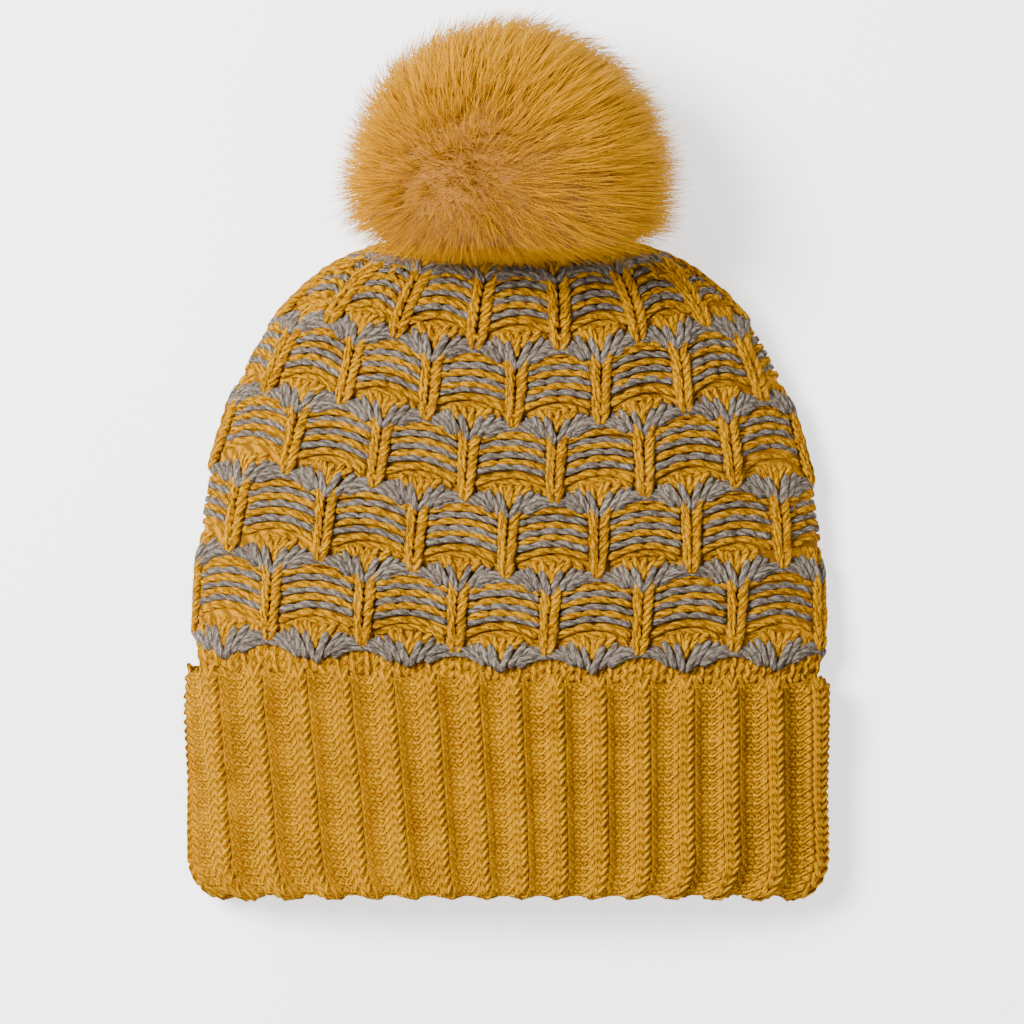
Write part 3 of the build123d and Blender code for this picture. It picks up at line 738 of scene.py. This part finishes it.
def body_shell():
    """The knitted wall as one closed skin: down the inside from the crown, over at the rib's edge,
    and up the outside to the crown, closed at both ends. The outside is lifted at the sides by
    0.4 sin^8 of the turn."""
    inside = np.concatenate([np.linspace(CUFF_HEIGHT - 3, 215, 50), np.linspace(216, BODY_LENGTH - 5, 16)])
    outside = np.concatenate([np.linspace(CUFF_HEIGHT - 3, 215, 60), np.linspace(216, BODY_LENGTH - 0.3, 30)])
    turn = np.arange(180)[None, :] / 180
    inner = on_hat(inside[::-1, None], turn, -KNIT_WALL)[0]
    outer = on_hat(outside[:, None], turn, WALL_OUTSIDE + WALL_SIDE_LIFT * np.sin(2 * np.pi * turn) ** 8)[0]
    return sheet_grid(np.concatenate([inner, outer]), True)


# ------------------------------------------------------------------ loose fibres and fur
FIBRE_RADIUS = 0.07
FIBRE_SHORTEST = 1.2
FIBRE_DROOP = 0.35
FIBRE_CLEARANCE = 0.15


def spikes(roots, ways, lengths, rng):
    """Short tapering fibres: root + way x length x t, bent sideways by t^2, never under the table."""
    t = np.linspace(0, 1, 3)[None, :, None]
    bend = rng.normal(0, 1, roots.shape)[:, None] * FIBRE_DROOP * lengths[:, None, None]
    paths = roots[:, None] + ways[:, None] * lengths[:, None, None] * t + bend * t**2
    paths[:, :, 2] = np.maximum(paths[:, :, 2], FIBRE_CLEARANCE)
    away = rng.normal(0, 1, (len(roots), 1, 3)) + 0 * paths
    thickness = FIBRE_RADIUS * (1.05 - t[:, :, 0])
    place = rng.uniform(0, 0.94, len(roots))
    along = np.broadcast_to(np.linspace(0.1, 0.9, 3), (len(roots), 3))
    return tubes(paths, away, thickness, 3, 1.0, False, along, (place, 0.05))


def fuzz(mesh_parts, count, longest, seed):
    """Fibres that stand out of strands: from random points of a mesh, away from the hat's inside."""
    rng = np.random.default_rng(seed)
    points = np.concatenate([part[0] for part in mesh_parts])
    roots = points[rng.integers(0, len(points), count)]
    middle = np.array([0.0, 0.0, 20.0])
    outward = roots - middle
    outward[:, 1] = 0
    outward /= np.linalg.norm(outward, axis=1, keepdims=True) + 1e-9
    ways = outward * rng.uniform(0.1, 1.0, (count, 1)) + rng.normal(0, 0.75, roots.shape)
    ways /= np.linalg.norm(ways, axis=1, keepdims=True)
    lengths = rng.uniform(FIBRE_SHORTEST, longest, count)
    return spikes(roots - ways * 0.2, ways, lengths, rng)


POM_CENTRE = np.array([0.0, RIM_Y + 251.0, (POM_LOW[2] + POM_HIGH[2]) / 2 - 5.5])
POM_RADIUS = POM_HIGH[0] + 4.5
REACH_UNDER_CROWN = 17.0
REACH_OVER_CROWN = 29.0
PARTING = np.array([-28.0, -10.0, 54.0])
HIDE_CENTRE = (HIDE_LOW + HIDE_HIGH) / 2
HIDE_RADII = (HIDE_HIGH - HIDE_LOW) / 2
HAIR_RINGS = 4
HAIR_CLEARANCE = 0.7
STRAY_RADIUS = 0.12
UNDERFUR_REACH = 0.78


def unit(vectors):
    """Vectors scaled to length one."""
    return vectors / (np.linalg.norm(vectors, axis=-1, keepdims=True) + 1e-12)


def pom_reach(ways):
    """How far the pile reaches from the pom's centre: the ball's radius, held back towards the
    crown by 17 to 29 / -y and towards the table by (centre's height - 1.5) / -z. The smooth least
    of the three is (a^-10 + b^-10 + c^-10)^-0.1."""
    back = REACH_UNDER_CROWN + (REACH_OVER_CROWN - REACH_UNDER_CROWN) * smooth_step((ways[..., 2] + 0.05) / 0.35)
    towards_hat = back / np.maximum(-ways[..., 1], 1e-3)
    towards_table = (POM_CENTRE[2] - 1.5) / np.maximum(-ways[..., 2], 1e-3)
    return (POM_RADIUS**-10.0 + towards_hat**-10.0 + towards_table**-10.0) ** -0.1


def swept(ways, amount):
    """Ways turned from the parting: each is rotated away from it by its own amount."""
    pole = unit(PARTING)
    dot = np.clip((ways * pole).sum(-1, keepdims=True), -1, 1)
    sideways = unit(ways - dot * pole)
    angle = np.arccos(dot) + amount[..., None]
    return np.cos(angle) * pole + np.sin(angle) * sideways


def fur_tufts(count, seed):
    """Aims, roots and sweeps of tufts. Aims lie evenly round the pom by the golden angle, each root
    is on the hide towards a point 45 mm out along its aim, and tips are swept from the parting,
    most to the right."""
    rng = np.random.default_rng(seed)
    number = np.arange(count) + rng.uniform(0, 1)
    height = 1 - 2 * np.mod(number / count, 1)
    turn = math.pi * (1 + 5**0.5) * number + seed
    level = np.sqrt(1 - height**2)
    aim = unit(np.stack([level * np.cos(turn), level * np.sin(turn), height], axis=1) + rng.normal(0, 0.05, (count, 3)))
    ways = unit((POM_CENTRE + 45.0 * aim - HIDE_CENTRE) / HIDE_RADII)
    roots = HIDE_CENTRE + HIDE_RADII * ways
    angle = np.arccos(np.clip((aim * unit(PARTING)).sum(1), -1, 1))
    to_right = smooth_step((aim[:, 0] + 0.25) / 0.9)
    sweep = (0.22 + 0.5 * to_right) * np.sin(np.clip(angle, 0, math.pi)) ** 0.5 * rng.uniform(0.75, 1.25, count)
    sweep = np.minimum(sweep, math.pi - angle - 0.02)
    return ways, roots, aim, sweep, rng


def fur_hairs(count, per_tuft, seed, radius, spread=3.4, longest=1.0):
    """Hairs in tufts. Each is a cubic from its root, out from the hide, over the pom, to a tip near
    its tuft's tip, with its tuft's sine wave across it. Near the parting U stops short of the
    tip's colour and its painted highlight."""
    ways, roots, aim, sweep, rng = fur_tufts(count, seed)
    total = count * per_tuft
    pick = np.repeat(np.arange(count), per_tuft)
    scatter = rng.normal(0, 1, (total, 3)) * spread
    start = roots[pick] + scatter * 0.8
    own = rng.normal(0, 0.035, (total, 3))
    tip_way = unit(swept(aim, sweep)[pick] + own * 1.6)
    mid_way = unit(swept(aim, 0.42 * sweep)[pick] + own * 1.3)
    length = rng.uniform(0.8, 1.0, total) ** 0.6 * longest * (1 - 0.07 * rng.uniform(0, 1, count)[pick])
    tips = POM_CENTRE + tip_way * (pom_reach(tip_way) * length)[:, None]
    over = POM_CENTRE + mid_way * (pom_reach(mid_way) * (0.95 * length))[:, None]
    out = start + (over - start) * 0.5 + ways[pick] * 2.5
    t = np.linspace(0, 1, HAIR_RINGS)[None, :, None]
    paths = ((1 - t) ** 3 * start[:, None] + 3 * (1 - t) ** 2 * t * out[:, None]
             + 3 * (1 - t) * t**2 * over[:, None] + t**3 * tips[:, None])
    cross = unit(np.cross(mid_way, unit(tips - start)))
    wave = rng.uniform(0, 2 * np.pi, count)[pick] + rng.normal(0, 0.5, total)
    size = rng.uniform(0.3, 1.7, count)[pick]
    paths = paths + cross[:, None] * (size[:, None] * np.sin(wave[:, None] + 5.5 * t[:, :, 0]) * t[:, :, 0])[:, :, None]
    paths[:, :, 2] = np.maximum(paths[:, :, 2], HAIR_CLEARANCE)
    thickness = radius * rng.uniform(0.7, 1.3, (total, 1)) * (1 - 0.88 * t[:, :, 0] ** 2)
    place = rng.uniform(0, 0.97, total)
    from_parting = np.arccos(np.clip((aim * unit(PARTING)).sum(1), -1, 1))[pick]
    along = np.linspace(0.02, 0.98, HAIR_RINGS)[None, :] * (0.45 + 0.55 * smooth_step(from_parting / 1.2))[:, None]
    up = np.broadcast_to(mid_way[:, None], paths.shape)
    return tubes(paths, up, thickness, 3, 1.0, False, along, (place, 0.016))


def underfur():
    """The dense wool under the long hairs, coloured dark as painted shade under them: a closed ball at
    0.78 of the pile's reach, uneven by a product of sines."""
    angle = np.linspace(0.02, np.pi - 0.02, 60)[:, None]
    turn = np.linspace(0, 2 * np.pi, 120, endpoint=False)[None, :]
    ways = np.stack([np.sin(angle) * np.sin(turn), np.cos(angle) + 0 * turn, np.sin(angle) * np.cos(turn)], axis=2)
    rough = np.sin(23 * turn + 9 * angle) * np.sin(17 * angle + 4 * turn)
    reach = pom_reach(ways) * (UNDERFUR_REACH + 0.008 * rough)
    return sheet_grid((POM_CENTRE + ways * reach[:, :, None])[::-1], True)


# ------------------------------------------------------------------ settings a user may change
class BeanieSizes(bpy.types.PropertyGroup):
    yarn_radius: bpy.props.FloatProperty(
        name="Rib yarn radius", description="Half the thickness of the yarn in the ribbed cuff",
        default=1.18 * MM, min=0.5 * MM, max=3 * MM, precision=5, unit="LENGTH")
    course_pitch: bpy.props.FloatProperty(
        name="Course pitch", description="Distance between rows of stitches in the ribbed cuff",
        default=2.9 * MM, min=2 * MM, max=6 * MM, precision=5, unit="LENGTH")
    fur_radius: bpy.props.FloatProperty(
        name="Fur strand radius", description="Half the thickness of a strand of fur at its root",
        default=0.18 * MM, min=0.05 * MM, max=1 * MM, precision=6, unit="LENGTH")
    camera_height: bpy.props.FloatProperty(
        name="Camera height", description="Height of the camera over the table",
        default=2.4, min=0.5, max=10, unit="LENGTH")


class BeanieColours(bpy.types.PropertyGroup):
    mustard: bpy.props.FloatVectorProperty(
        name="Mustard yarn", description="Main yarn, as sRGB",
        default=(0.76, 0.515, 0.0), min=0, max=1, subtype="COLOR_GAMMA")
    grey: bpy.props.FloatVectorProperty(
        name="Grey yarn", description="Contrast yarn, as sRGB",
        default=(0.47, 0.425, 0.38), min=0, max=1, subtype="COLOR_GAMMA")
    fur: bpy.props.FloatVectorProperty(
        name="Fur", description="Fur over most of its length, as sRGB",
        default=(0.85, 0.60, 0.0), min=0, max=1, subtype="COLOR_GAMMA")


FLOOR_HALF = 3000.0
LAMPS = (("window_light", (-0.75, 0.4, 1.35), 0.6, 76.0), ("fill_light", (0.9, -0.5, 1.6), 1.6, 4.5))
SENSOR_WIDTH = 36.0
VIEW_WIDTH = 0.3656
VIEW_HEIGHT_OVER_TABLE = 0.02


class BuildStage(bpy.types.Operator):
    """Floor, light and camera"""
    bl_idname = "beanie.build_stage"
    bl_label = "Stage"

    def execute(self, context):
        corners = np.array([[-1, -1, 0.0], [1, -1, 0.0], [1, 1, 0.0], [-1, 1, 0.0]]) * FLOOR_HALF * MM
        mesh = bpy.data.meshes.new("studio_floor")
        mesh.from_pydata(corners.tolist(), [], [(0, 1, 2, 3)])
        material, tree, shader = start_material("matt_white_board", **{
            "Roughness": 0.85, "Emission Color": linear("FFFFFF"), "Emission Strength": 1.3})
        place = node(tree, "ShaderNodeTexCoord")
        grain = node(tree, "ShaderNodeTexNoise", {"Vector": place.outputs["Object"], "Scale": 6.0})
        tone = ramp(tree, grain.outputs["Fac"], ((0.3, "F8F8F8"), (0.7, "FBFBFB")))
        tree.links.new(tone, shader.inputs["Base Color"])
        mesh.materials.append(material)
        floor = bpy.data.objects.new("studio_floor", mesh)
        context.scene.collection.objects.link(floor)

        world = bpy.data.worlds.new("studio_air")
        world.use_nodes = True
        background = world.node_tree.nodes["Background"]
        background.inputs["Color"].default_value = linear("F4F6F8")
        background.inputs["Strength"].default_value = 0.75
        context.scene.world = world
        for name, place_at, size, power in LAMPS:
            lamp = bpy.data.lights.new(name, "AREA")
            lamp.shape = "SQUARE"
            lamp.size = size
            lamp.energy = power
            light = bpy.data.objects.new(name, lamp)
            light.location = place_at
            aim = -light.location.normalized()
            light.rotation_euler = aim.to_track_quat("-Z", "Y").to_euler()
            context.scene.collection.objects.link(light)
        eye = bpy.data.cameras.new("camera")
        height = context.scene.beanie_sizes.camera_height
        eye.sensor_width = SENSOR_WIDTH
        eye.lens = SENSOR_WIDTH * (height - VIEW_HEIGHT_OVER_TABLE) / VIEW_WIDTH
        eye.clip_end = 50.0
        camera = bpy.data.objects.new("camera", eye)
        camera.location = (0.0007, -0.0193, height)
        context.scene.collection.objects.link(camera)
        context.scene.camera = camera
        return {"FINISHED"}


class BuildCuff(bpy.types.Operator):
    """Turned-up cuff: ribbed courses, its fold and its rolled top edge"""
    bl_idname = "beanie.build_cuff"
    bl_label = "Turned-up cuff"

    def execute(self, context):
        sizes = context.scene.beanie_sizes
        radius, pitch = sizes.yarn_radius / MM, sizes.course_pitch / MM
        starts = np.arange(0.6, CUFF_CLOTH_LENGTH - 3.0, pitch)
        thirds = np.array_split(starts, 3)
        names = ("cuff_upper_courses", "cuff_middle_courses", "cuff_lower_courses")
        for name, part, seed in zip(names, thirds, (11, 211, 411)):
            mesh = loop_courses(part, cuff_profile, RIBS * RIB_STITCHES, True, radius, 9, 5, seed)
            wool_piece(name, [mesh], "cuff", "turned_up_cuff")
            wool_piece(name.replace("courses", "fibres"), [fuzz([mesh], 1900, 3.4, seed)], "cuff", "turned_up_cuff")
        cloth = backing(cuff_profile, 0.8, CUFF_CLOTH_LENGTH)
        wool_piece("cuff_cloth", [cloth], "cuff", "turned_up_cuff", shaded_wool_back)
        return {"FINISHED"}


class BuildRibBand(bpy.types.Operator):
    """Inner layer of the rib, behind the cuff"""
    bl_idname = "beanie.build_rib_band"
    bl_label = "Rib band"

    def execute(self, context):
        starts = np.arange(0.0, CUFF_HEIGHT - 7.0, 4.0)
        mesh = loop_courses(starts, rib_profile, RIBS * RIB_STITCHES, True, 1.35, 5, 4, 611)
        wool_piece("rib_band_courses", [mesh], "hat", "rib_band")
        cloth = backing(rib_profile, 0.0, CUFF_HEIGHT - 5.0)
        wool_piece("rib_band_cloth", [cloth], "hat", "rib_band", shaded_wool_back)
        return {"FINISHED"}


class BuildBody(bpy.types.Operator):
    """Mustard knit of the body: wall, first courses, columns, tufts and arcs"""
    bl_idname = "beanie.build_body"
    bl_label = "Knitted body"

    def execute(self, context):
        wool_piece("body_wall", [body_shell()], "hat", "knit_body", shaded_wool_back)
        courses = loop_courses(np.arange(68.0, 88.0, 3.4), body_profile, 6 * COLUMNS, False, 1.3, 9, 5, 811, 6.0, 0.8)
        wool_piece("body_first_courses", [courses], "hat", "knit_body")
        fibres = []
        for row in range(len(ROW_PLACES)):
            parts = fan_strands(row, 31)
            if row + 1 < len(ROW_PLACES):
                parts += column_strands(row, 51)
                parts += panel_arcs(row, MUSTARD_CRESTS, MUSTARD_DROPS, 71)
            else:
                parts.append(crown_strands(91))
            fibres += parts
            wool_piece(f"body_mustard_row_{row + 1}", parts, "hat", "knit_body")
        wool_piece("body_fibres", [fuzz(fibres, 4800, 3.8, 5)], "hat", "knit_body")
        return {"FINISHED"}


class BuildGreyRows(bpy.types.Operator):
    """Grey contrast yarn: scalloped rows and the grey arcs of the panels over them"""
    bl_idname = "beanie.build_grey_rows"
    bl_label = "Grey yarn rows"

    def execute(self, context):
        for row in range(len(ROW_PLACES)):
            parts = scallop_strands(row, 131)
            if row + 1 < len(ROW_PLACES):
                parts += panel_arcs(row, GREY_CRESTS, GREY_DROPS, 171)
            number = row + 1
            parts.append(fuzz(parts, 450, 3.4, 17 + row))
            make_piece(f"grey_row_{number}", parts, "hat", grey_wool(),
                       [f"grey_yarn_band_{number}"])
        return {"FINISHED"}


class BuildPom(bpy.types.Operator):
    """Fur pom: underfur and swept tufts of hair"""
    bl_idname = "beanie.build_pom"
    bl_label = "Fur pom"

    def execute(self, context):
        base = hexed(context.scene.beanie_colours.fur)
        # Fur: its darkest stop is painted shade deep in the pile and its palest a painted highlight. Underfur: its dark
        # colours are painted shade under the hairs.
        fur = shared_material("mustard_dyed_fur", fur_material, mixed(base, "3A1C00", 0.6),
                              mixed(base, "8A4A00", 0.35), base, mixed(base, "FFCC00", 0.35))
        dense = shared_material("dense_dyed_underfur", cloth_material, mixed(base, "3A1C00", 0.75),
                                mixed(base, "6A3800", 0.6), 0.6, 0.95, 0.0, 0.0006)
        stuffed = make_piece("pom_underfur", [underfur()], "pom", dense, ["pom_fur_pile"])
        radius = context.scene.beanie_sizes.fur_radius / MM
        for number in range(5):
            mesh = fur_hairs(860, 8, 301 + number, radius)
            make_piece(f"pom_fur_{number + 1}", [mesh], "pom", fur, ["pom_fur_pile"])
        stray = fur_hairs(450, 3, 401, STRAY_RADIUS, 4.5, 1.07)
        make_piece("pom_stray_hairs", [stray], "pom", fur, ["pom_fur_pile"])
        return {"FINISHED"}


class FinishFittings(bpy.types.Operator):
    """Materials of the parts that keep their CAD shape"""
    bl_idname = "beanie.finish_fittings"
    bl_label = "Fittings"

    def execute(self, context):
        mustard = hexed(context.scene.beanie_colours.mustard)
        brass = metal_material("pressed_brass", "C9A255", "8F6C30", 0.28)
        steel = metal_material("drawn_spring_steel", "B9BCC0", "8C9096", 0.3)
        thread = cloth_material("twisted_polyester_thread", mixed(mustard, "3A2000", 0.4), mustard,
                                0.25, 0.6, 0.2, 0.0002)
        cord = cloth_material("gathered_mustard_yarn", mixed(mustard, "3A2000", 0.6), mustard,
                              0.9, 0.92, 0.35, 0.0006)
        hide = cloth_material("knitted_fur_backing", "6E4A1C", "9A6D2C", 0.8, 0.9, 0.2, 0.0003)
        filling = cloth_material("polyester_fibre_fill", "DDDDD8", "F6F6F2", 1.5, 0.95, 0.4, 0.001)
        satin = cloth_material("woven_satin_tape", "E4DFD0", "F2EEE4", 0.15, 0.35, 0.1, 0.00005)
        felt = cloth_material("pressed_wool_felt", "322F2C", "5A5550", 0.5, 0.97, 0.4, 0.0004)
        leather = cloth_material("split_leather", "5B3A1C", "7A5230", 1.1, 0.62, 0.0, 0.0002)
        finishes = {
            "stud_cap": brass, "press_stud": brass, "snap_socket": brass, "socket_cap": brass, "socket_spring": steel,
            "back_seam_yarn": cord, "crown_gather_yarn": cord, "care_label": satin, "label_stitches": thread,
            "crown_washer": felt, "pom_base_disc": leather, "pom_tie_thread": thread, "pom_gather_thread": thread,
            "pom_hide": hide, "pom_hide_neck": hide, "pom_stuffing": filling,
        }
        for name, material in finishes.items():
            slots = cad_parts[name].data.materials
            if len(slots):
                for number in range(len(slots)):
                    slots[number] = material
            else:
                slots.append(material)
        return {"FINISHED"}


OPERATORS = (BuildStage, BuildCuff, BuildRibBand, BuildBody, BuildGreyRows, BuildPom, FinishFittings)


class BeaniePanel(bpy.types.Panel):
    """Sizes, colours and one button for each group of pieces"""
    bl_idname = "VIEW3D_PT_beanie"
    bl_label = "Pom pom beanie"
    bl_space_type = "VIEW_3D"
    bl_region_type = "UI"
    bl_category = "Beanie"

    def draw(self, context):
        for group in (context.scene.beanie_sizes, context.scene.beanie_colours):
            for name in group.bl_rna.properties.keys():
                if name not in ("rna_type", "name"):
                    self.layout.prop(group, name)
        for operator in OPERATORS:
            self.layout.operator(operator.bl_idname)


CLASSES = (BeanieSizes, BeanieColours) + OPERATORS + (BeaniePanel,)


def register():
    for each in CLASSES:
        bpy.utils.register_class(each)
    bpy.types.Scene.beanie_sizes = bpy.props.PointerProperty(type=BeanieSizes)
    bpy.types.Scene.beanie_colours = bpy.props.PointerProperty(type=BeanieColours)


def unregister():
    del bpy.types.Scene.beanie_colours
    del bpy.types.Scene.beanie_sizes
    for each in reversed(CLASSES):
        bpy.utils.unregister_class(each)


def main():
    register()
    for operator in OPERATORS:
        group, name = operator.bl_idname.split(".")
        getattr(getattr(bpy.ops, group), name)()


if __name__ == "__main__":
    main()
